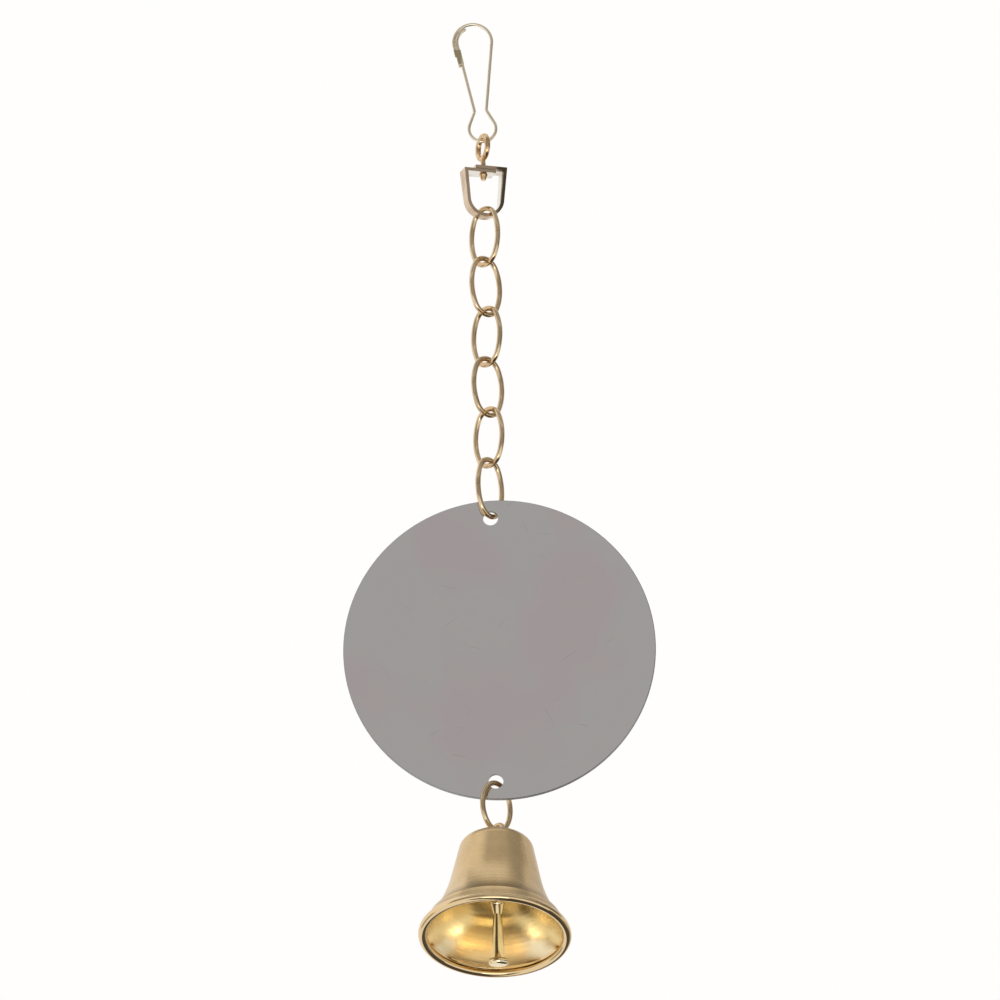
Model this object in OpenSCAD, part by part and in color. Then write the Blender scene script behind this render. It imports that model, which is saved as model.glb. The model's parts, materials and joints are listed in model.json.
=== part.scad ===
// Hanging bird mirror: a snap hook, a swivel, a chain of oval links, a round mirror and a bell.
// Millimetres, +Z up, mirror faces towards -Y and +Y. The origin is the point inside the top of the
// hook's arch that bears on the cage.

/* [Hook] */
// Diameter of the spring wire
hook_wire = 0.8; // [0.6:0.05:0.9]
// Radius of the arch, to the middle of the wire
arch_r = 4.7; // [4.2:0.1:6]
// Drop from the bearing point to the neck
neck_drop = 22.4; // [20:0.2:26]
// Distance between the middles of the wires at the neck
neck_gap = 3; // [2.6:0.1:3.6]
// Radius of the bends at the neck, to the middle of the wire
neck_r = 1.5; // [1:0.1:2]
// Length of straight wire between the neck and the lower loop
flare_len = 3.2; // [0.5:0.1:4]
// Radius of the lower loop, to the middle of the wire
loop_r = 3.3; // [2.8:0.1:4]
// Sideways lean of the hook as it hangs, in degrees
hook_lean = 5; // [0:0.5:8]
// Clearance between the gate and the end of the arch
gate_gap = 0.1; // [0.08:0.01:0.2]
// Angle round the arch where the gate's tip ends, counted from the right
gate_tip = 115; // [110:1:150]
// How far the gate's ball end stands proud of its wire
ball_lip = 0.05; // [0.02:0.01:0.1]
// Length of the catch
catch_len = 3.8; // [3:0.1:5]
// Drop of the catch below the middle of the arch
catch_drop = 1.6; // [1:0.1:3]
// Thickness of the catch's folded walls
catch_wall = 0.4; // [0.3:0.05:0.6]
// Clearance of the gate in the catch
catch_clear = 0.16; // [0.12:0.01:0.3]
// Length over which the arch's end lies on the catch
catch_lap = 1.2; // [0.8:0.1:2]

/* [Swivel] */
// Diameter of the eye's wire
eye_wire = 1.4; // [1:0.05:1.5]
// Radius of the eye, to the middle of the wire
eye_r = 2.9; // [2.5:0.1:3.5]
// Turn of the eye about the vertical, in degrees
eye_yaw = -65; // [-90:1:-40]
// Diameter of the swivel pin below the eye
pin_d = 1.2; // [1:0.05:1.5]
// Radial clearance of the pin in the bracket
pin_clear = 0.06; // [0.03:0.01:0.1]
// Length of pin between the eye and the bracket
shank_len = 1.8; // [0.5:0.1:3]
// Diameter of the pin's peened head
head_d = 2; // [1.8:0.1:2.6]
// Height of the pin's peened head
head_h = 1.3; // [0.8:0.1:2]
// Clearance between the head and the tab above it
head_gap = 0.1; // [0.05:0.05:0.3]
// Width of the bracket across its top
bracket_w = 11; // [10:0.1:13]
// Height of the bracket
bracket_h = 13; // [12:0.1:15]
// Outer radius of the bracket's rounded bottom
bracket_r = 4.7; // [3.8:0.1:5]
// Turn of the bracket about the vertical, in degrees
bracket_yaw = 20; // [0:1:30]
// Thickness of the bracket's strip
strip_t = 0.8; // [0.6:0.05:1]
// Width of the strip at the bracket's top
strip_top = 4.2; // [3.6:0.1:5]
// Width of the strip at the bracket's bottom
strip_low = 2.8; // [2.2:0.1:3.4]
// Gap between the two tabs folded over each other
tab_gap = 0.1; // [0.05:0.05:0.2]
// Reach of each tab past the pin's axis
tab_reach = 2.6; // [2:0.1:3.2]
// Play left where the first link hangs on the bracket
strip_gap = 0.3; // [0.2:0.02:0.5]

/* [Chain] */
// Number of links between the bracket and the mirror
chain_links = 6; // [2:1:10]
// Diameter of the links' wire
link_wire = 1.3; // [1.1:0.05:1.4]
// Outer length of a link
link_len = 15.7; // [14:0.1:18]
// Radius of a link's ends, to the middle of the wire
link_end_r = 3.9; // [3.4:0.1:4.4]
// How far a link's long sides bulge past its ends
link_bulge = 0.75; // [0.4:0.05:1.2]
// Play left where one wire hangs on another
link_gap = 0.15; // [0.1:0.01:0.25]
// Turn of the links about the vertical, one way and the other, in degrees
link_yaw = 45; // [40:1:50]
// Turn of the link in the mirror's upper hole, in degrees
last_link_yaw = 54; // [46:1:62]
// Width of the butt seam where a link's wire ends meet
seam = 0.12; // [0.05:0.01:0.2]

/* [Mirror] */
// Diameter of the mirror
mirror_d = 75; // [60:1:90]
// Thickness of the mirror
mirror_t = 1.2; // [0.8:0.1:1.6]
// Width of the bevel on the mirror's edges
mirror_bevel = 0.15; // [0.05:0.05:0.3]
// Height of each hole's middle in from the mirror's rim
hole_inset = 4.5; // [4:0.1:6]
// Sideways offset of the mirror's middle from its holes
hole_offset = 1.5; // [0:0.1:2]
// Height that the wire keeps off the middle of a hole, at the hole's edge
hole_play = 0.62; // [0.4:0.02:1]

/* [Bell] */
// Outer length of the link between mirror and bell
bell_link_len = 13; // [12:0.1:15]
// Turn of the link between mirror and bell, in degrees
bell_link_yaw = 47; // [44:1:60]
// Lean of the bell's mouth towards -Y, in degrees
bell_tilt = 17; // [0:0.5:25]
// Lean of the bell's mouth towards -X, in degrees
bell_roll = 1.5; // [0:0.5:5]
// Height of the bell from mouth to crown
bell_h = 27; // [25:0.5:30]
// Outer radius of the bell's mouth
mouth_r = 18.1; // [17.6:0.1:19.5]
// Diameter of the rolled rim
rim_d = 2.1; // [1.6:0.1:2.6]
// Thickness of the bell's wall
bell_wall = 0.7; // [0.5:0.05:0.9]
// Radius of the bell's flat crown
crown_r = 6; // [5.5:0.1:7]
// Radius of the shoulder's bend
shoulder_r = 3; // [2.4:0.1:3.6]
// Slope of the waist from upright, in degrees
waist_slope = 12; // [9:0.5:14]
// Length of the straight waist
waist_len = 8.8; // [7:0.1:10]
// How far the mouth stands out past the ridge
lip_out = 2.7; // [2.2:0.1:3.4]
// Height of the ridge above the mouth
ridge_h = 4.6; // [4:0.1:5.5]
// How far the ridge stands proud of the waist
ridge_out = 0.45; // [0.2:0.05:0.7]
// Diameter of the wire of the loop through the crown
loop_wire = 1; // [0.8:0.05:1.1]
// Radius of the loop's ends, to the middle of the wire
loop_end_r = 2.2; // [2:0.1:2.6]
// Height of the loop's top wire above the crown
loop_rise = 4.8; // [4.4:0.1:6]
// Depth of the loop's lower wire below the crown
loop_sink = 3.6; // [3.4:0.1:5]
// Radial clearance of the loop in the crown's holes
loop_clear = 0.05; // [0.03:0.01:0.1]

/* [Clapper] */
// Diameter of the wire of the clapper's eye
clapper_wire = 0.8; // [0.6:0.05:0.9]
// Radius of the clapper's eye, to the middle of the wire
clapper_eye_r = 1.6; // [1.4:0.1:2]
// Length of the clapper from its pivot to its foot
clapper_len = 27; // [25:0.5:30]
// Drop from the pivot to the top of the bead
bead_drop = 11; // [8:0.1:12]
// Diameter of the bead
bead_d = 3.5; // [3:0.1:4]
// Height of the bead
bead_h = 3.6; // [3:0.1:5]
// Radius of the bead's rounded edge
bead_edge = 0.9; // [0.5:0.1:1.2]
// Diameter of the clapper's rod
rod_d = 2.1; // [1.8:0.1:2.5]
// Diameter of the foot
foot_d = 4.9; // [4:0.1:5.5]
// Height of the foot
foot_h = 1.6; // [1.2:0.1:2.2]
// Depth of the eye's shank in the bead
socket_depth = 2.4; // [1.5:0.1:2.8]
// Radial clearance of the shank in the bead
socket_clear = 0.04; // [0.02:0.01:0.1]

/* [Hidden] */
$fn = 48;
dull_brass = "#8c7a4d";
bright_brass = "#c8a96a";
bell_brass = "#c2a468";
mirror_grey = "#a09997";
// Overlap of a cut past the surface that it cuts
past = 1;
// Swell of a wire or strip, as a share of its thickness, where two lengths of it run into each other
swell = 1.01;
// Steps of each round stretch of the bell's and clapper's outlines
arc_steps = 10;
// Turn below level at which the bead's rounded edge runs into its cone, in degrees
bead_turn = 30;

function polar(centre, r, angle) = centre + r * [cos(angle), sin(angle)];
function arc(centre, r, from, to) =
    [for (i = [0 : arc_steps]) polar(centre, r, from + (to - from) * i / arc_steps)];
// Slope from upright of the straight wire that crosses between two bends on opposite sides of it
function crossing(across, up, radii) = atan2(up, across) - acos(radii / norm([across, up]));

// Hook: middles of its bends and slopes of its straight wires, drawn in a plane with y upwards
arch_mid = [0, hook_wire / 2 - arch_r];
neck_mid = [neck_gap / 2 + neck_r, -neck_drop];
loop_drop = sqrt(pow(loop_r + neck_r, 2) + pow(flare_len, 2) - pow(neck_mid.x, 2));
left_neck_mid = [-neck_mid.x, neck_mid.y];
loop_mid = [0, -neck_drop - loop_drop];
neck_to_arch = arch_mid.y - neck_mid.y;
gate_r = arch_r - hook_wire - gate_gap;
leg_slope = crossing(neck_mid.x, neck_to_arch, arch_r + neck_r);
gate_slope = crossing(neck_mid.x, neck_to_arch, gate_r + neck_r);
flare_slope = crossing(neck_mid.x, loop_drop, loop_r + neck_r);
gate_pivot = polar(left_neck_mid, neck_r, gate_slope);
gate_top = polar(arch_mid, gate_r, 180 + gate_slope);
arch_end = polar(arch_mid, arch_r, 180 + gate_slope);
ball_d = hook_wire + 2 * ball_lip;

// Heights down the hanging line, each from the piece above
hang_x = -loop_mid.y * sin(hook_lean);
hook_low_z = loop_mid.y * cos(hook_lean) - loop_r;
eye_z = hook_low_z + hook_wire / 2 + link_gap - eye_r + eye_wire / 2;
bracket_z = eye_z - eye_r - eye_wire / 2 - shank_len;
head_z = bracket_z - 2 * strip_t - tab_gap - head_gap;
link_in_r = link_end_r - link_wire / 2;
strip_turn = bracket_yaw + link_yaw;
strip_half = strip_low / 2 / sin(strip_turn) + link_wire / 2 / tan(strip_turn);
strip_dip = link_in_r - sqrt(pow(link_in_r, 2) - pow(strip_half, 2));
first_link_z = bracket_z - bracket_h + strip_t + strip_dip + strip_gap + link_wire / 2;
link_pitch = link_len - 2 * link_wire - link_gap;
function link_z(k) = first_link_z - (k - 1) * link_pitch;
function odd(k) = k % 2 == 1;
function yaw_of(k) = (odd(k) ? -1 : 1) * (k == chain_links ? last_link_yaw : link_yaw);

// Wires in the mirror's holes: half width of the wire across the hole, and its rise along the bend
function hole_span(yaw) =
    mirror_t / 2 * tan(90 - yaw) + link_wire / 2 * (1 / cos(90 - yaw) - 1);
function hole_rise(yaw) =
    link_end_r - sqrt(pow(link_end_r, 2)
        - pow(mirror_t / 2 / cos(90 - yaw) + link_wire / 2 * tan(90 - yaw), 2));
widest_span = max(hole_span(last_link_yaw), hole_span(bell_link_yaw));
wire_room = norm([widest_span, hole_play]);
hole_d = 2 * (wire_room + link_wire / 2 + link_gap);
function hole_seat(yaw) = sqrt(pow(wire_room, 2) - pow(hole_span(yaw), 2)) - hole_rise(yaw);

hole_reach = mirror_d / 2 - hole_inset;
mirror_x = hang_x + hole_offset;
mirror_z = link_z(chain_links) - link_len + link_wire - hole_seat(last_link_yaw) - hole_reach;
bell_link_z = mirror_z - hole_reach - hole_seat(bell_link_yaw);
bell_link_low = bell_link_z - bell_link_len + link_wire;
bell_z = bell_link_low + (link_wire + loop_wire) / 2 + link_gap;
bell_loop_yaw = bell_link_yaw - 90;
clapper_drop = loop_rise + loop_sink;
clapper_reach = clapper_drop * cos(bell_tilt);
clapper_x = hang_x - clapper_reach * sin(bell_roll);
clapper_y = -clapper_drop * sin(bell_tilt);
clapper_z = bell_z - clapper_reach * cos(bell_roll);
clapper_eye_z = loop_wire / 2 + link_gap - clapper_eye_r + clapper_wire / 2;

// Bell outline: radius and height above the mouth, from the crown down
shoulder_mid = [crown_r, bell_h - shoulder_r];
waist_top = polar(shoulder_mid, shoulder_r, waist_slope);
waist_low = waist_top + waist_len * [sin(waist_slope), -cos(waist_slope)];
ridge_top = [mouth_r - lip_out, ridge_h];
flare_chord = ridge_top - waist_low;
flare_half_turn = atan2(flare_chord.x, -flare_chord.y) - waist_slope;
flare_r = norm(flare_chord) / 2 / sin(flare_half_turn);
flare_mid = polar(waist_low, flare_r, waist_slope);
ridge_slope = waist_slope + 2 * flare_half_turn;
ridge_edge = polar(ridge_top, ridge_out, ridge_slope);
rim_mid = [mouth_r - rim_d / 2, rim_d / 2];
lip_slope = atan2(rim_mid.x - ridge_top.x, ridge_top.y - rim_mid.y);
lip_side = polar([0, 0], bell_wall / 2, lip_slope);

// Bracket: outline drawn in a plane with y upwards, its top at 0
bracket_mid = [0, bracket_r - bracket_h];
bracket_reach = norm([bracket_w / 2, bracket_mid.y]);
arm_slope = acos(bracket_r / bracket_reach) - atan2(-bracket_mid.y, bracket_w / 2);
arm_len = sqrt(pow(bracket_reach, 2) - pow(bracket_r, 2));
low_tab_drop = strip_t + tab_gap;

// Stands a drawing up, so that its y is the height
module upright() {
    rotate([90, 0, 0])
        children();
}

// Straight wire between two points of a drawing
module straight(from, to, d) {
    run = to - from;
    translate(from)
        rotate([0, 0, atan2(run.y, run.x)])
            rotate([0, 90, 0])
                cylinder(d = d, h = norm(run));
}

// Wire bent round a middle, from one angle to another
module bend(middle, r, from, to, d) {
    translate(middle)
        rotate([0, 0, from])
            rotate_extrude(angle = to - from)
                translate([r, 0])
                    circle(d = d);
}

// Ball where two lengths of wire run into each other
module run_on(at, d) {
    translate(at)
        sphere(d = d * swell);
}

// Straight wire with a bend at each end
module wire_run(from, to, d) {
    straight(from, to, d);
    run_on(from, d);
    run_on(to, d);
}

// Quarter of an oval link: half of an end and half of a long side, bent both ways from where they meet
module quarter_link(half_len) {
    half_w = link_end_r + link_bulge;
    end_y = half_len - link_end_r;
    side_r = (pow(half_w, 2) + pow(end_y, 2) - pow(link_end_r, 2)) / 2 / link_bulge;
    turn = atan2(end_y, side_r - half_w);
    intersection() {
        translate(polar([0, end_y], link_end_r, turn))
            rotate([0, 0, turn]) {
                half_bend(link_end_r, 90 - turn);
                mirror([0, 1, 0])
                    half_bend(side_r, turn);
            }
        translate([0, 0, -link_wire])
            cube([half_w + link_wire, half_len + link_wire, 2 * link_wire]);
    }
}

// Bend of a link's wire from the origin, carried on past its end to be cut square there
module half_bend(r, angle) {
    translate([-r, 0])
        rotate_extrude(angle = angle + atan(link_wire / r))
            translate([r, 0])
                circle(d = link_wire);
}

// Upright oval link that hangs from the middle of its top wire, with a butt seam in one side
module oval_link(len, seam_side) {
    half_len = (len - link_wire) / 2;
    translate([0, 0, -half_len])
        upright()
            difference() {
                for (across = [0, 1], up = [0, 1])
                    mirror([across, 0, 0])
                        mirror([0, up, 0])
                            quarter_link(half_len);
                translate([seam_side * (link_end_r + link_bulge), 0, 0])
                    cube([link_wire + past, seam, link_wire + past], center = true);
            }
}

// Places the hook's drawing as the hook hangs
module hang_hook() {
    rotate([0, -hook_lean, 0])
        upright()
            children();
}

// Flattened end of the arch, folded round the gate and open inwards
module catch() {
    inside = hook_wire / 2 + catch_clear;
    outside = inside + catch_wall;
    translate(gate_top)
        rotate([0, 0, gate_slope])
            difference() {
                union() {
                    translate([-outside, -catch_drop - catch_len, -outside])
                        cube([outside + hook_wire / 2, catch_len, 2 * outside]);
                    translate([gate_r - arch_r, 0, 0])
                        straight([0, 0], [0, -catch_drop - catch_lap], hook_wire);
                }
                translate([-inside, -catch_drop - catch_len - past, -inside])
                    cube([inside + hook_wire + past, catch_len + past, 2 * inside]);
            }
}

module snap_hook() {
    color(dull_brass)
        hang_hook() {
            catch();
            difference() {
                union() {
                    bend(arch_mid, arch_r, -leg_slope, 180 + gate_slope, hook_wire);
                    run_on(arch_end, hook_wire);
                    wire_run(polar(arch_mid, arch_r, -leg_slope),
                        polar(neck_mid, neck_r, 180 - leg_slope), hook_wire);
                    bend(neck_mid, neck_r, 180 - leg_slope, 180 + flare_slope, hook_wire);
                    wire_run(polar(neck_mid, neck_r, 180 + flare_slope),
                        polar(loop_mid, loop_r, flare_slope), hook_wire);
                    bend(loop_mid, loop_r, 180 - flare_slope, 360 + flare_slope, hook_wire);
                    wire_run(polar(loop_mid, loop_r, 180 - flare_slope),
                        polar(left_neck_mid, neck_r, -flare_slope), hook_wire);
                    bend(left_neck_mid, neck_r, -flare_slope, gate_slope, hook_wire);
                }
                translate(gate_pivot)
                    sphere(d = ball_d + 2 * gate_gap);
            }
        }
}

module hook_gate() {
    color(dull_brass)
        hang_hook() {
            translate(gate_pivot)
                sphere(d = ball_d);
            straight(gate_pivot, gate_top, hook_wire);
            run_on(gate_top, hook_wire);
            bend(arch_mid, gate_r, gate_tip, 180 + gate_slope, hook_wire);
        }
}

module swivel_eye() {
    pin_low = head_z - head_h / 2;
    color(bright_brass)
        translate([hang_x, 0, 0]) {
            translate([0, 0, eye_z])
                rotate([0, 0, eye_yaw])
                    upright()
                        bend([0, 0], eye_r, 0, 360, eye_wire);
            translate([0, 0, pin_low])
                cylinder(d = pin_d, h = eye_z - eye_r - pin_low);
            translate([0, 0, head_z - head_h])
                cylinder(d1 = pin_d, d2 = head_d, h = head_h);
        }
}

module swivel_bracket() {
    color(bright_brass)
        translate([hang_x, 0, bracket_z])
            rotate([0, 0, bracket_yaw])
                difference() {
                    intersection() {
                        upright()
                            union() {
                                translate(bracket_mid)
                                    rotate([0, 0, 180 + arm_slope])
                                        rotate_extrude(angle = 180 - 2 * arm_slope)
                                            translate([bracket_r - strip_t, -strip_top / 2])
                                                square([strip_t, strip_top]);
                                bracket_arm(0);
                                mirror([1, 0, 0])
                                    bracket_arm(low_tab_drop);
                            }
                        bracket_taper();
                    }
                    translate([0, 0, -low_tab_drop - strip_t - past])
                        cylinder(d = pin_d + 2 * pin_clear, h = low_tab_drop + strip_t + 2 * past);
                }
}

// Right arm of the bracket with its tab, which lies a little below the top where it is the lower one
module bracket_arm(drop) {
    difference() {
        translate(polar(bracket_mid, bracket_r, -arm_slope))
            rotate([0, 0, -arm_slope])
                translate([-strip_t, 0, -strip_top / 2])
                    cube([strip_t, arm_len + past, strip_top]);
        translate([0, -drop, -strip_top])
            cube([bracket_w, 2 * past + drop, 2 * strip_top]);
    }
    translate(polar(bracket_mid, bracket_r - strip_t / 2, -arm_slope))
        cylinder(d = strip_t * swell, h = strip_top, center = true);
    translate([-tab_reach, -drop - strip_t, -strip_top / 2])
        cube([tab_reach + bracket_w / 2 - strip_t / 2, strip_t, strip_top]);
}

// Space that narrows the bracket's strip from its top to its bottom
module bracket_taper() {
    rotate([90, 0, 90])
        translate([0, 0, -bracket_w])
            linear_extrude(2 * bracket_w)
                polygon([
                    [-strip_top / 2, 0],
                    [-strip_low / 2, -bracket_h],
                    [strip_low / 2, -bracket_h],
                    [strip_top / 2, 0]
                ]);
}

// The first link's seam faces +X and the others' -X
module chain_link(k) {
    color(bright_brass)
        translate([hang_x, 0, link_z(k)])
            rotate([0, 0, yaw_of(k)])
                oval_link(link_len, k == 1 ? 1 : -1);
}

module mirror_disc() {
    half_t = mirror_t / 2;
    rim = mirror_d / 2;
    color(mirror_grey)
        translate([mirror_x, 0, mirror_z])
            difference() {
                upright()
                    rotate_extrude()
                        polygon([
                            [0, -half_t],
                            [rim - mirror_bevel, -half_t],
                            [rim, mirror_bevel - half_t],
                            [rim, half_t - mirror_bevel],
                            [rim - mirror_bevel, half_t],
                            [0, half_t]
                        ]);
                for (side = [-1, 1])
                    translate([-hole_offset, 0, side * hole_reach])
                        upright()
                            cylinder(d = hole_d, h = mirror_t + 2 * past, center = true);
            }
}

module bell_link() {
    color(bright_brass)
        translate([hang_x, 0, bell_link_z])
            rotate([0, 0, bell_link_yaw])
                oval_link(bell_link_len, 1);
}

// Places what is fixed to the bell, whose loop hangs from its top wire, square to the link
module hang_bell() {
    translate([hang_x, 0, bell_z])
        rotate([-bell_tilt, bell_roll, 0])
            rotate([0, 0, bell_loop_yaw])
                children();
}

module bell_loop() {
    top_mid = [0, -loop_end_r];
    low_mid = [0, loop_end_r - clapper_drop];
    color(bright_brass)
        hang_bell()
            upright() {
                bend(top_mid, loop_end_r, 0, 180, loop_wire);
                bend(low_mid, loop_end_r, 180, 360, loop_wire);
                for (side = [-1, 1])
                    straight(top_mid + [side * loop_end_r, 0], low_mid + [side * loop_end_r, 0], loop_wire);
            }
}

module bell_shell() {
    outside = concat(
        [[0, bell_h]],
        arc(shoulder_mid, shoulder_r, 90, waist_slope),
        arc(flare_mid, flare_r, 180 + waist_slope, 180 + ridge_slope),
        [ridge_edge, rim_mid + lip_side]
    );
    inside = concat(
        [rim_mid - lip_side],
        arc(flare_mid, flare_r + bell_wall, 180 + ridge_slope, 180 + waist_slope),
        arc(shoulder_mid, shoulder_r - bell_wall, waist_slope, 90),
        [[0, bell_h - bell_wall]]
    );
    color(bell_brass)
        hang_bell()
            translate([0, 0, -loop_rise - bell_h])
                difference() {
                    union() {
                        rotate_extrude()
                            polygon(concat(outside, inside));
                        rotate_extrude()
                            translate(rim_mid)
                                circle(d = rim_d);
                    }
                    for (side = [-1, 1])
                        translate([side * loop_end_r, 0, bell_h - bell_wall - past])
                            cylinder(d = loop_wire + 2 * loop_clear, h = bell_wall + 2 * past);
                }
}

// Places what is fixed to the clapper, which hangs plumb from the loop's lower wire
module hang_clapper() {
    translate([clapper_x, clapper_y, clapper_z])
        children();
}

module clapper_eye() {
    shank_top = clapper_eye_z - clapper_eye_r;
    shank_low = -bead_drop - socket_depth;
    color(bright_brass)
        hang_clapper() {
            translate([0, 0, clapper_eye_z])
                rotate([0, 0, bell_loop_yaw + 90])
                    upright()
                        bend([0, 0], clapper_eye_r, 0, 360, clapper_wire);
            translate([0, 0, shank_low])
                cylinder(d = clapper_wire, h = shank_top - shank_low);
        }
}

// Turned rod with a cup-shaped bead above and a rounded foot below
module clapper_striker() {
    bead_r = bead_d / 2;
    rod_r = rod_d / 2;
    foot_r = foot_d / 2;
    foot_edge = foot_h / 2;
    cup_mid = [bead_r - bead_edge, -bead_drop - bead_edge];
    foot_mid = [foot_r - foot_edge, foot_edge - clapper_len];
    color(bright_brass)
        hang_clapper()
            difference() {
                rotate_extrude()
                    polygon(concat(
                        [[0, -bead_drop]],
                        arc(cup_mid, bead_edge, 90, -bead_turn),
                        [[rod_r, -bead_drop - bead_h]],
                        arc(foot_mid, foot_edge, 90, -90),
                        [[0, -clapper_len]]
                    ));
                translate([0, 0, -bead_drop - socket_depth - socket_clear])
                    cylinder(d = clapper_wire + 2 * socket_clear, h = socket_depth + past);
            }
}

snap_hook();
hook_gate();
swivel_eye();
swivel_bracket();
for (k = [1 : chain_links])
    chain_link(k);
mirror_disc();
bell_link();
bell_loop();
bell_shell();
clapper_eye();
clapper_striker();
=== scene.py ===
import json
import math

import bpy
from mathutils import Matrix, Vector


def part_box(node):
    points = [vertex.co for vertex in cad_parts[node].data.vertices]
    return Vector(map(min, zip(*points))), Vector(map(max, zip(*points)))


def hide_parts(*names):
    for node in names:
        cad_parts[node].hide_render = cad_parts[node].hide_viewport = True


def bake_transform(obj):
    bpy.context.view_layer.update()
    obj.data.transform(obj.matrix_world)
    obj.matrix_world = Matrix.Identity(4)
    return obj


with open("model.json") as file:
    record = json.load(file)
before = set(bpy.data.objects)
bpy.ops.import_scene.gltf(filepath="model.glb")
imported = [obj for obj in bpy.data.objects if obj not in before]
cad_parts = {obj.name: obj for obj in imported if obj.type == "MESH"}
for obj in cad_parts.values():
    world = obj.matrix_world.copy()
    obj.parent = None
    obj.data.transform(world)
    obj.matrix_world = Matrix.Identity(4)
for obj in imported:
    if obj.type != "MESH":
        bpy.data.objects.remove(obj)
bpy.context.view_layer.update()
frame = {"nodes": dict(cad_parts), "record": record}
nodes = frame["nodes"]
pivots = {joint["name"]: joint["pos_m"] for joint in frame["record"]["behaviour"]["joints"]}


def in_scene(name, data):
    thing = bpy.data.objects.new(name, data)
    bpy.context.scene.collection.objects.link(thing)
    return thing


# Camera, at the photograph's angle: below the toy and looking up.
# The mirror's width and middle in the image give the focal length and the aim.
IMAGE_PX = 1000.0
MIRROR_PX = 312.7
MIRROR_AT_PX = (499.5, 649.5)
MIRROR_D = 0.075
DISTANCE = 1.8
BELOW = math.radians(17.2)
ASIDE = math.radians(1.4)
ROLL = math.radians(1.2)
SENSOR_MM = 36.0
CLIP_END = 100.0


def add_camera():
    low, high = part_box("mirror_disc")
    centre = (low + high) / 2
    focal = MIRROR_PX * DISTANCE / MIRROR_D
    out = Vector((
        math.sin(ASIDE) * math.cos(BELOW),
        -math.cos(ASIDE) * math.cos(BELOW),
        -math.sin(BELOW),
    ))
    level = Vector((math.cos(ASIDE), math.sin(ASIDE), 0))
    rise = level.cross(-out)
    right = math.cos(ROLL) * level - math.sin(ROLL) * rise
    up = math.sin(ROLL) * level + math.cos(ROLL) * rise
    off_right = (MIRROR_AT_PX[0] - IMAGE_PX / 2) / focal
    off_up = (IMAGE_PX / 2 - MIRROR_AT_PX[1]) / focal
    aim = (-out - off_right * right - off_up * up).normalized()
    right = (right - aim * right.dot(aim)).normalized()
    up = right.cross(aim)
    turn = Matrix((right, up, -aim)).transposed().to_quaternion()
    data = bpy.data.cameras.new("camera")
    data.sensor_fit = "HORIZONTAL"
    data.sensor_width = SENSOR_MM
    data.lens = focal / IMAGE_PX * SENSOR_MM
    data.clip_end = CLIP_END
    camera = in_scene("camera", data)
    camera.matrix_world = Matrix.LocRotScale(centre + DISTANCE * out, turn, None)
    bpy.context.scene.camera = camera


# An input takes another node's output, or else a number, a vector or a colour without alpha
def set_input(tree, node, socket, value):
    target = node.inputs[socket]
    if isinstance(value, bpy.types.NodeSocket):
        tree.links.new(value, target)
    elif target.type == "RGBA":
        target.default_value = (*value, 1.0)
    else:
        target.default_value = value


def node_out(tree, kind, sockets, output=0, **settings):
    node = tree.nodes.new(kind)
    for key, value in settings.items():
        setattr(node, key, value)
    for socket, value in sockets.items():
        set_input(tree, node, socket, value)
    return node.outputs[output]


def math_node(tree, operation, *values):
    return node_out(tree, "ShaderNodeMath", dict(enumerate(values)), operation=operation)


def vector_node(tree, operation, *values):
    output = "Value" if operation in ("DOT_PRODUCT", "LENGTH") else "Vector"
    return node_out(tree, "ShaderNodeVectorMath", dict(enumerate(values)), output, operation=operation)


def axes_of(tree, vector):
    return list(node_out(tree, "ShaderNodeSeparateXYZ", {0: vector}).node.outputs)


def product(tree, first, *others):
    for other in others:
        first = math_node(tree, "MULTIPLY", first, other)
    return first


# A smooth step from one value to another, and one that goes down to nothing
def ramp(tree, value, low, high, to_low=0.0, to_high=1.0):
    sockets = {"Value": value, "From Min": low, "From Max": high, "To Min": to_low, "To Max": to_high}
    return node_out(tree, "ShaderNodeMapRange", sockets, interpolation_type="SMOOTHSTEP")


def fall(tree, value, low, high, start=1.0):
    return ramp(tree, value, low, high, start, 0.0)


# The two inputs and the output that a Mix node has for each type of data
MIX_SOCKETS = {"FLOAT": (2, 3, 0), "RGBA": (6, 7, 2)}


def mix(tree, factor, first, second, kind="RGBA"):
    before, after, result = MIX_SOCKETS[kind]
    sockets = {0: factor, before: first, after: second}
    return node_out(tree, "ShaderNodeMix", sockets, result, data_type=kind)


def local(tree, vector, turn=(0, 0, 0), place=(0, 0, 0), size=(1, 1, 1)):
    sockets = {"Vector": vector, "Location": place, "Rotation": turn, "Scale": size}
    return node_out(tree, "ShaderNodeMapping", sockets, vector_type="TEXTURE")


def noise(tree, vector, scale, detail=3.0, rough=0.5):
    sockets = {"Vector": vector, "Scale": scale, "Detail": detail, "Roughness": rough}
    return node_out(tree, "ShaderNodeTexNoise", sockets)


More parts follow.
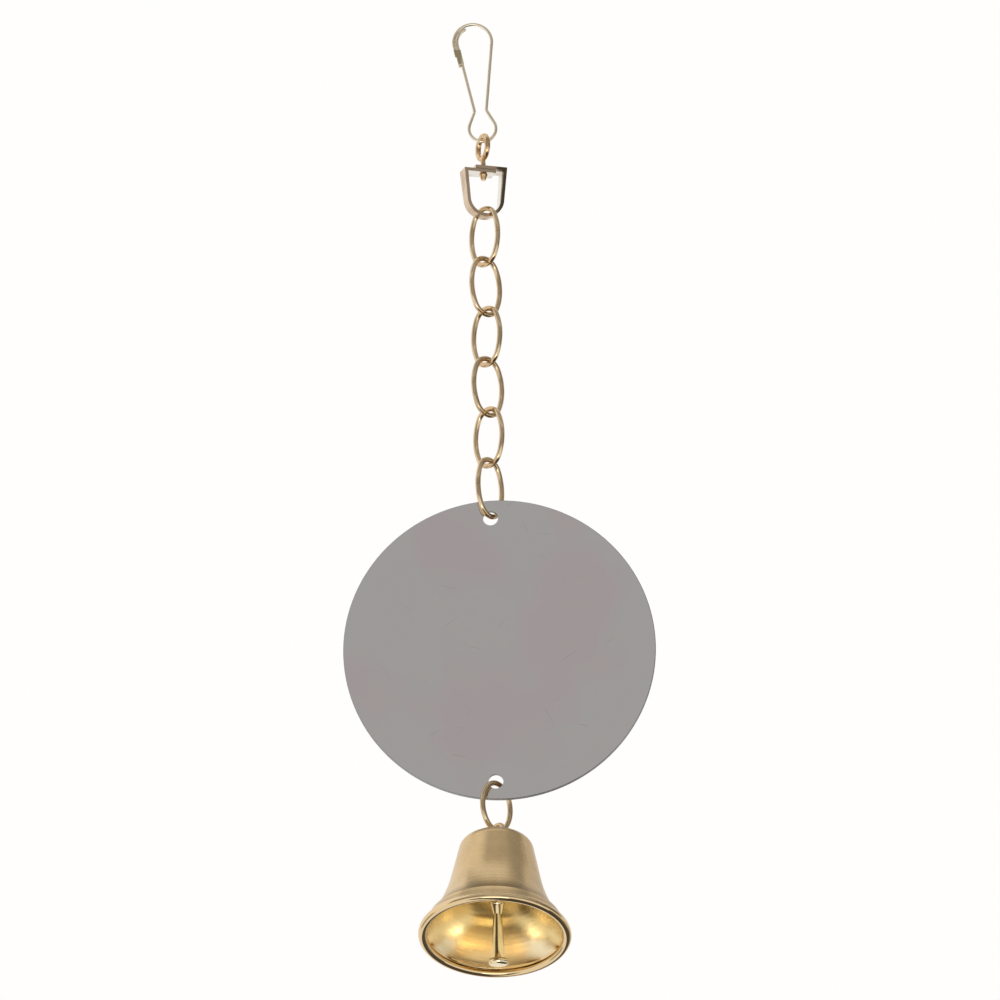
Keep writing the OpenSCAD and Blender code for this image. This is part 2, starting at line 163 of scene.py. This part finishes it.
# What bright metal sees of the studio: a white room, with grey on the viewer's side, dark flags that draw
# the lines on wire and rim, and a bright strip low down for the highlights inside the bell.
# In degrees: azimuth from the viewer, positive to the right, elevation, and how soft the edges are.
# All else gets the room's even light, and the camera sees the backdrop.
ROOM = (0.94, 0.94, 0.93)
ROOM_LIGHT = (0.62, 0.62, 0.61)
BACKDROP = (1.0, 0.992, 0.98)
PANELS = [
    ((-181, 181), (66, 91), 8, (0.88, 0.88, 0.87)),
    ((-58, 58), (34, 76), 6, (0.42, 0.42, 0.41)),
    ((55, 118), (16, 70), 8, (0.38, 0.37, 0.36)),
    ((124, 170), (20, 58), 8, (0.64, 0.63, 0.62)),
    ((62, 112), (-12, 20), 8, (0.17, 0.16, 0.15)),
    ((-118, -62), (-12, 60), 8, (1.0, 0.99, 0.98)),
    ((-66, 66), (-8, 30), 4, (0.352, 0.336, 0.33)),
    ((-11, 11), (-8, 29), 3, (0.48, 0.46, 0.454)),
    ((-42, 190), (-91, -44), 4, (0.08, 0.075, 0.07)),
    ((-190, -164), (-91, -44), 4, (0.08, 0.075, 0.07)),
    ((130, 190), (-48, -24), 4, (0.10, 0.09, 0.08)),
    ((112, 158), (-24, -5), 5, (0.50, 0.49, 0.48)),
    ((-130, -94), (-40, -18), 4, (0.42, 0.41, 0.40)),
    ((84, 135), (-46, -28), 4, (0.14, 0.13, 0.12)),
    ((-18, 18), (-44, -31), 3, (3.3, 3.27, 3.2)),
]


def between(tree, value, low, high, soft):
    above = ramp(tree, value, low - soft, low + soft)
    return product(tree, above, fall(tree, value, high - soft, high + soft))


def add_world():
    world = bpy.data.worlds.new("studio")
    bpy.context.scene.world = world
    world.use_nodes = True
    tree = world.node_tree
    tree.nodes.clear()
    coords = tree.nodes.new("ShaderNodeTexCoord").outputs
    x, y, z = axes_of(tree, coords["Generated"])
    to_viewer = math_node(tree, "MULTIPLY", y, -1.0)
    azimuth = math_node(tree, "DEGREES", math_node(tree, "ARCTAN2", x, to_viewer))
    elevation = math_node(tree, "DEGREES", math_node(tree, "ARCSINE", z))
    colour = ROOM
    for sides, heights, soft, tone in PANELS:
        aside = between(tree, azimuth, *sides, soft)
        mask = product(tree, aside, between(tree, elevation, *heights, soft))
        colour = mix(tree, mask, colour, tone)
    rays = tree.nodes.new("ShaderNodeLightPath").outputs
    reflected = math_node(tree, "MAXIMUM", rays["Is Glossy Ray"], rays["Is Transmission Ray"])
    colour = mix(tree, reflected, ROOM_LIGHT, colour)
    colour = mix(tree, rays["Is Camera Ray"], colour, BACKDROP)
    shade = node_out(tree, "ShaderNodeBackground", {"Color": colour})
    set_input(tree, tree.nodes.new("ShaderNodeOutputWorld"), "Surface", shade)


# Soft lamps, aimed at the middle of the toy: place and width in metres, power in watts
LAMP_AIM = Vector((0, 0, -0.13))
LAMPS = {
    "key": ((-1.0, -1.1, 0.7), 0.9, 14.0),
    "fill": ((1.3, -0.6, 0.1), 0.8, 7.0),
    "top": ((0.1, 0.3, 1.2), 1.0, 9.0),
}


def add_lamp(name, place, width, power):
    data = bpy.data.lights.new(name, "AREA")
    data.shape = "DISK"
    data.size = width
    data.energy = power
    lamp = in_scene(name, data)
    lamp.location = place
    lamp.rotation_euler = (LAMP_AIM - Vector(place)).to_track_quat("-Z", "Y").to_euler()
    lamp.visible_camera = False
    lamp.visible_glossy = False


def new_material(name):
    mat = bpy.data.materials.new(name)
    mat.use_nodes = True
    tree = mat.node_tree
    shade = tree.nodes["Principled BSDF"]
    coords = tree.nodes.new("ShaderNodeTexCoord").outputs
    return mat, tree, shade, coords


# Floor, which goes over to the backdrop's colour with the distance from the toy.
# The fade gives two distances in metres and the backdrop's share at each.
FLOOR_Z = -0.95
FLOOR_HALF = 6.0
FLOOR_TONES = ((0.93, 0.925, 0.915), (0.95, 0.945, 0.94))
FLOOR_CLOUD = 3.0
FLOOR_ROUGH = 0.9
FLOOR_FADE = (1.4, 4.5, 0.7, 1.0)


def add_floor():
    mesh = bpy.data.meshes.new("floor")
    signs = ((-1, -1), (1, -1), (1, 1), (-1, 1))
    corners = [(x * FLOOR_HALF, y * FLOOR_HALF, FLOOR_Z) for x, y in signs]
    mesh.from_pydata(corners, [], [(0, 1, 2, 3)])
    floor = in_scene("floor", mesh)
    mat, tree, shade, coords = new_material("floor")
    clouds = noise(tree, coords["Object"], FLOOR_CLOUD)
    set_input(tree, shade, "Base Color", mix(tree, clouds, *FLOOR_TONES))
    set_input(tree, shade, "Roughness", FLOOR_ROUGH)
    glow = node_out(tree, "ShaderNodeEmission", {"Color": BACKDROP})
    rays = tree.nodes.new("ShaderNodeLightPath").outputs
    fade = ramp(tree, vector_node(tree, "LENGTH", coords["Object"]), *FLOOR_FADE)
    paler = product(tree, rays["Is Camera Ray"], fade)
    both = node_out(tree, "ShaderNodeMixShader", {0: paler, 1: shade.outputs[0], 2: glow})
    set_input(tree, tree.nodes["Material Output"], "Surface", both)
    mesh.materials.append(mat)
    floor.visible_glossy = False


# Depth of the unevenness in a metal's surface, in metres, and on the polished mirror
BUMP = 0.000004
MIRROR_BUMP = 0.0000004


def finish_metal(tree, shade, colour, rough, height, depth=BUMP, strength=0.5):
    sockets = {"Strength": strength, "Distance": depth, "Height": height}
    bump = node_out(tree, "ShaderNodeBump", sockets)
    set_input(tree, shade, "Metallic", 1.0)
    set_input(tree, shade, "Base Color", colour)
    set_input(tree, shade, "Roughness", rough)
    set_input(tree, shade, "Normal", bump)


# Drawn wire and turned pieces: clouded tarnish, a gloss that changes with it and a slight unevenness.
# A link's ends are painted browner and darker, as painted shade where the next one meets it, and the
# hook's flattened catch is darker.
# The catch is given in metres, and the painted shade at a link's ends as shares of half a link.
WIRE_CLOUD = 160.0
TARNISH = (0.4, 0.68)
FINE_CLOUD = 900.0
FINE_SHARE = 0.3
GLOSS_FROM = (0.05, 1.25)
JOINT_SHADE_SPAN = (0.62, 0.96)
CATCH_LEFT = -0.0026
CATCH_LOW = -0.0102
CATCH_HIGH = -0.0064
CATCH_SIDE_SOFT = 0.0004
CATCH_END_SOFT = 0.0002


# Mask of the painted shade at both ends of a link, where the next one meets it
def joint_shade_ends(tree, place, low, high):
    height = axes_of(tree, place)[2]
    half = (high - low) / 2
    off = math_node(tree, "ABSOLUTE", math_node(tree, "SUBTRACT", height, (low + high) / 2))
    return ramp(tree, off, half * JOINT_SHADE_SPAN[0], half * JOINT_SHADE_SPAN[1])


def hook_catch(tree, place):
    across, _, height = axes_of(tree, place)
    left = fall(tree, across, CATCH_LEFT, CATCH_LEFT + CATCH_SIDE_SOFT)
    above = ramp(tree, height, CATCH_LOW - CATCH_END_SOFT, CATCH_LOW)
    below = fall(tree, height, CATCH_HIGH, CATCH_HIGH + CATCH_END_SOFT)
    return product(tree, left, above, below)


def metal(name, bright, dull, rough, cloud=WIRE_CLOUD, dark=None, where=None, limits=()):
    mat, tree, shade, coords = new_material(name)
    place = coords["Object"]
    clouds = noise(tree, place, cloud, rough=0.55)
    worn = ramp(tree, clouds, *TARNISH)
    colour = mix(tree, worn, bright, dull)
    if where:
        colour = mix(tree, where(tree, place, *limits), colour, dark)
    fine = noise(tree, place, FINE_CLOUD, 2.0)
    both = math_node(tree, "MULTIPLY_ADD", fine, FINE_SHARE, worn)
    finish_metal(tree, shade, colour, ramp(tree, both, *GLOSS_FROM, *rough), clouds)
    return mat


# Bracket: tan outside, with the inner faces painted paler as a painted highlight, and the cut edge of one
# arm darker in patches.
# Its own axes are turned as the solid is. The edge's ranges are in metres from its middle.
BRACKET_TURN = (0, 0, math.radians(20))
BRACKET_CLOUD = 260.0
BRACKET_TARNISH = (0.38, 0.68)
BRACKET_TAN = ((0.74, 0.56, 0.40), (0.60, 0.44, 0.29))
# Painted highlight: the pale colour of the inner faces
BRACKET_INSIDE_HIGHLIGHT = (0.92, 0.855, 0.77)
BRACKET_EDGE = (0.15, 0.115, 0.065)
BRACKET_ROUGH = (0.2, 0.34)
FACES_IN = (-0.002, -0.0005)
EDGE_FRONT = (-0.0011, -0.0007)
EDGE_RIGHT = (0.0018, 0.0036)
EDGE_PATCHES = (0.2, 0.45, 0.7, 1.0)


def bracket_metal(name):
    mat, tree, shade, coords = new_material(name)
    low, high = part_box("swivel_bracket")
    place = local(tree, coords["Object"], BRACKET_TURN, (low + high) / 2)
    facing = local(tree, coords["Normal"], BRACKET_TURN)
    inside = fall(tree, vector_node(tree, "DOT_PRODUCT", place, facing), *FACES_IN)
    clouds = noise(tree, coords["Object"], BRACKET_CLOUD, 4.0, 0.6)
    worn = ramp(tree, clouds, *BRACKET_TARNISH)
    colour = mix(tree, worn, *BRACKET_TAN)
    # The inner faces are painted paler, a painted highlight
    colour = mix(tree, inside, colour, BRACKET_INSIDE_HIGHLIGHT)
    across, depth, _ = axes_of(tree, place)
    edge = product(tree, fall(tree, depth, *EDGE_FRONT), ramp(tree, across, *EDGE_RIGHT))
    edge = product(tree, edge, ramp(tree, clouds, *EDGE_PATCHES))
    colour = mix(tree, edge, colour, BRACKET_EDGE)
    finish_metal(tree, shade, colour, ramp(tree, worn, 0.0, 1.0, *BRACKET_ROUGH), clouds)
    return mat


# Bell: satin outside with fine turned rings, painted shade in the groove above the ridge and on the lip,
# and polished inside.
# Its own axes lean as the bell does. The bands are heights in metres from the joint that it hangs on.
BELL_TURN = (math.radians(-17), math.radians(1.5), 0)
BELL_CLOUD = 110.0
BELL_TARNISH = (0.35, 0.7)
BELL_SATIN = ((0.76, 0.555, 0.30), (0.66, 0.47, 0.243))
BELL_GOLD = ((0.95, 0.83, 0.575), (0.92, 0.775, 0.49))
# Colours of the painted shade: in the groove above the ridge, then on the lip
BELL_GROOVE_SHADE = (0.38, 0.26, 0.13)
BELL_LIP_SHADE = (0.46, 0.32, 0.165)
BELL_RIM = (0.80, 0.60, 0.34)
GROOVE_SHADE_BAND = (-0.0267, -0.0232)
RIDGE_BAND = (-0.0272, -0.0268)
LIP_SHADE_BAND = (-0.0284, -0.0276)
LIP_SHADE_SHARE = 0.5
RIM_BAND = (-0.0298, -0.0291)
RIM_POLISH = 0.14
TURNS_IN = (-0.25, 0.1)
RING_SIZE = (0.03, 0.03, 0.0002)
BRUSHED = (0.3, 0.7, 0.23, 0.34)
POLISHED = (0.17, 0.23)
RING_STRENGTH = 0.35


def bell_metal(name):
    mat, tree, shade, coords = new_material(name)
    place = local(tree, coords["Object"], BELL_TURN, pivots["bell_swing"])
    facing = local(tree, coords["Normal"], BELL_TURN)
    radial = vector_node(tree, "NORMALIZE", vector_node(tree, "MULTIPLY", place, (1, 1, 0)))
    inside = fall(tree, vector_node(tree, "DOT_PRODUCT", radial, facing), *TURNS_IN)
    clouds = noise(tree, place, BELL_CLOUD, 4.0, 0.6)
    rings = noise(tree, local(tree, place, size=RING_SIZE), 1.0, 4.0, 0.65)
    worn = ramp(tree, clouds, *BELL_TARNISH)
    height = axes_of(tree, place)[2]
    # Painted shade in the groove above the ridge, and at part strength on the lip
    groove_shade = product(tree, fall(tree, height, *GROOVE_SHADE_BAND), ramp(tree, height, *RIDGE_BAND))
    satin = mix(tree, groove_shade, mix(tree, worn, *BELL_SATIN), BELL_GROOVE_SHADE)
    satin = mix(tree, fall(tree, height, *LIP_SHADE_BAND, LIP_SHADE_SHARE), satin, BELL_LIP_SHADE)
    rim = fall(tree, height, *RIM_BAND)
    colour = mix(tree, inside, satin, mix(tree, worn, *BELL_GOLD))
    colour = mix(tree, rim, colour, BELL_RIM)
    clear = ramp(tree, worn, 0.0, 1.0, *POLISHED)
    clear = math_node(tree, "SUBTRACT", clear, product(tree, rim, RIM_POLISH))
    bright = math_node(tree, "MAXIMUM", inside, rim)
    rough = mix(tree, bright, ramp(tree, rings, *BRUSHED), clear, "FLOAT")
    finish_metal(tree, shade, colour, rough, rings, strength=RING_STRENGTH)
    return mat


# Mirror: silver with a faint pink cloud and hairline scratches in patches, and a ground edge.
# The scratches run at three angles in degrees, and their size is in metres.
MIRROR_CLOUD = 31.0
MIRROR_MOTTLE = (0.44, 0.62)
MIRROR_SILVER = ((0.70, 0.705, 0.693), (0.722, 0.669, 0.673))
MIRROR_SCRATCH = (0.60, 0.59, 0.58)
MIRROR_EDGE = (0.34, 0.33, 0.325)
MIRROR_HAZE = (0.02, 0.07)
PATCH_CLOUD = 55.0
PATCHES = (0.46, 0.6)
SCRATCH_TURNS = (12, -35, 64)
SCRATCH_SIZE = (0.009, 0.009, 0.0004)
SCRATCH_LEVELS = (0.722, 0.765)
SCRATCH_ROUGH = 0.3
FACES_FRONT = (0.85, 0.97)
EDGE_ROUGH = 0.45


def scratches(tree, place, turn):
    along = local(tree, place, (0, math.radians(turn), 0), size=SCRATCH_SIZE)
    return ramp(tree, noise(tree, along, 1.0, 1.0), *SCRATCH_LEVELS)


def mirror_metal(name):
    mat, tree, shade, coords = new_material(name)
    place = coords["Object"]
    clouds = noise(tree, place, MIRROR_CLOUD, 4.0)
    mottle = ramp(tree, clouds, *MIRROR_MOTTLE)
    colour = mix(tree, mottle, *MIRROR_SILVER)
    lines = scratches(tree, place, SCRATCH_TURNS[0])
    for turn in SCRATCH_TURNS[1:]:
        lines = math_node(tree, "MAXIMUM", lines, scratches(tree, place, turn))
    lines = product(tree, lines, ramp(tree, noise(tree, place, PATCH_CLOUD, 1.0), *PATCHES))
    colour = mix(tree, lines, colour, MIRROR_SCRATCH)
    front = math_node(tree, "ABSOLUTE", axes_of(tree, coords["Normal"])[1])
    edge = fall(tree, front, *FACES_FRONT)
    colour = mix(tree, edge, colour, MIRROR_EDGE)
    rough = ramp(tree, mottle, 0.0, 1.0, *MIRROR_HAZE)
    for mask, dull in ((lines, SCRATCH_ROUGH), (edge, EDGE_ROUGH)):
        rough = math_node(tree, "MAXIMUM", rough, product(tree, mask, dull))
    finish_metal(tree, shade, colour, rough, clouds, MIRROR_BUMP)
    return mat


# Tube along a path in the plane of the hook, flat at its start and round at its far end
TUBE_SIDES = 20
CAP_RINGS = 5
CAP_TURN = 17
PLANE_NORMAL = Vector((0, 1, 0))


def tube(name, path, radius):
    rings = []
    for index, point in enumerate(path):
        before = path[max(index - 1, 0)]
        after = path[min(index + 1, len(path) - 1)]
        rings.append((point, (after - before).normalized(), radius))
    point, along, _ = rings[-1]
    for step in range(1, CAP_RINGS + 1):
        angle = math.radians(step * CAP_TURN)
        rings.append((point + along * (radius * math.sin(angle)), along, radius * math.cos(angle)))
    verts = []
    for point, along, size in rings:
        across = along.cross(PLANE_NORMAL)
        for side in range(TUBE_SIDES):
            angle = 2 * math.pi * side / TUBE_SIDES
            verts.append(point + size * (math.cos(angle) * across + math.sin(angle) * PLANE_NORMAL))
    faces = [tuple(range(TUBE_SIDES)), tuple(len(verts) - 1 - side for side in range(TUBE_SIDES))]
    for low in range(0, len(verts) - TUBE_SIDES, TUBE_SIDES):
        high = low + TUBE_SIDES
        for side in range(TUBE_SIDES):
            nearby = (side + 1) % TUBE_SIDES
            faces.append((low + nearby, low + side, high + side, high + nearby))
    mesh = bpy.data.meshes.new(name)
    mesh.from_pydata(verts, [], faces)
    mesh.update()
    mesh.polygons.foreach_set("use_smooth", [True] * len(mesh.polygons))
    return in_scene(name, mesh)


# The gate is the hook's own wire on the real thing, so one wire carries on from the neck and bends there.
# Its line in the hook's own plane, in millimetres and degrees: round the neck, straight up the leg, with
# the points closest together where it bends, then round inside the arch.
HOOK_LEAN = math.radians(5)
WIRE_R = 0.000406
NECK_MID = (-3, -22.4)
NECK_R = 1.5
NECK_START = -24
NECK_STEPS = 12
LEG_TURN = 7.38
LEG_STEPS = 60
LEG_SPACING = 1.3
ARCH_MID = (0, -4.3)
ARCH_R = 3.86
ARCH_END = 115
ARCH_STEPS = 36


def on_hook(x, y):
    across = x * math.cos(HOOK_LEAN) - y * math.sin(HOOK_LEAN)
    height = y * math.cos(HOOK_LEAN) + x * math.sin(HOOK_LEAN)
    return Vector((across, 0, height)) / 1000


def arc(mid, radius, first, last, steps):
    turns = [math.radians(first + (last - first) * step / steps) for step in range(steps + 1)]
    return [(mid[0] + radius * math.cos(turn), mid[1] + radius * math.sin(turn)) for turn in turns]


def gate_wire():
    neck = arc(NECK_MID, NECK_R, NECK_START, LEG_TURN, NECK_STEPS)
    top = arc(ARCH_MID, ARCH_R, 180 + LEG_TURN, ARCH_END, ARCH_STEPS)
    leg = []
    for step in range(1, LEG_STEPS):
        part = (step / LEG_STEPS) ** LEG_SPACING
        leg.append(tuple(a + (b - a) * part for a, b in zip(neck[-1], top[0])))
    piece = tube("gate_wire", [on_hook(*point) for point in neck + leg + top], WIRE_R)
    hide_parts("hook_gate")
    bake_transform(piece)
    return piece


def dress(node, mat):
    mesh = nodes[node].data
    mesh.materials.clear()
    mesh.materials.append(mat)
    mesh.polygons.foreach_set("material_index", [0] * len(mesh.polygons))


# Each brass: its colour where it is bright and where it is dull, and the roughness of both
HOOK_BRASS = ((0.95, 0.845, 0.67), (0.84, 0.73, 0.55), (0.2, 0.32))
HOOK_CATCH = (0.50, 0.42, 0.25)
SWIVEL_BRASS = ((0.80, 0.58, 0.33), (0.50, 0.31, 0.16), (0.1, 0.22))
SWIVEL_CLOUD = 420.0
LINK_BRASS = ((0.78, 0.61, 0.395), (0.57, 0.43, 0.26), (0.12, 0.24))
# Colour of the painted shade on the ends of each link
LINK_JOINT_SHADE = (0.66, 0.47, 0.27)
CLAPPER_BRASS = ((0.93, 0.79, 0.52), (0.82, 0.64, 0.37), (0.08, 0.16))
LINKS = ["chain_link_%d" % number for number in range(1, 7)] + ["bell_link", "bell_loop"]


def link_metal(node):
    low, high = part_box(node)
    ends = (low.z, high.z)
    return metal(node + "_brass", *LINK_BRASS, dark=LINK_JOINT_SHADE, where=joint_shade_ends, limits=ends)


hook_brass = metal("hook_brass", *HOOK_BRASS, dark=HOOK_CATCH, where=hook_catch)
clapper_brass = metal("clapper_brass", *CLAPPER_BRASS)

dress("snap_hook", hook_brass)
gate_wire().data.materials.append(hook_brass)
dress("swivel_eye", metal("swivel_brass", *SWIVEL_BRASS, cloud=SWIVEL_CLOUD))
dress("swivel_bracket", bracket_metal("bracket_brass"))
for link in LINKS:
    dress(link, link_metal(link))
dress("mirror_disc", mirror_metal("mirror_silver"))
dress("bell_shell", bell_metal("bell_brass"))
dress("clapper_eye", clapper_brass)
dress("clapper_striker", clapper_brass)

add_camera()
add_world()
add_floor()
for lamp_name, lamp_settings in LAMPS.items():
    add_lamp(lamp_name, *lamp_settings)

bpy.context.scene.view_settings.view_transform = "Standard"
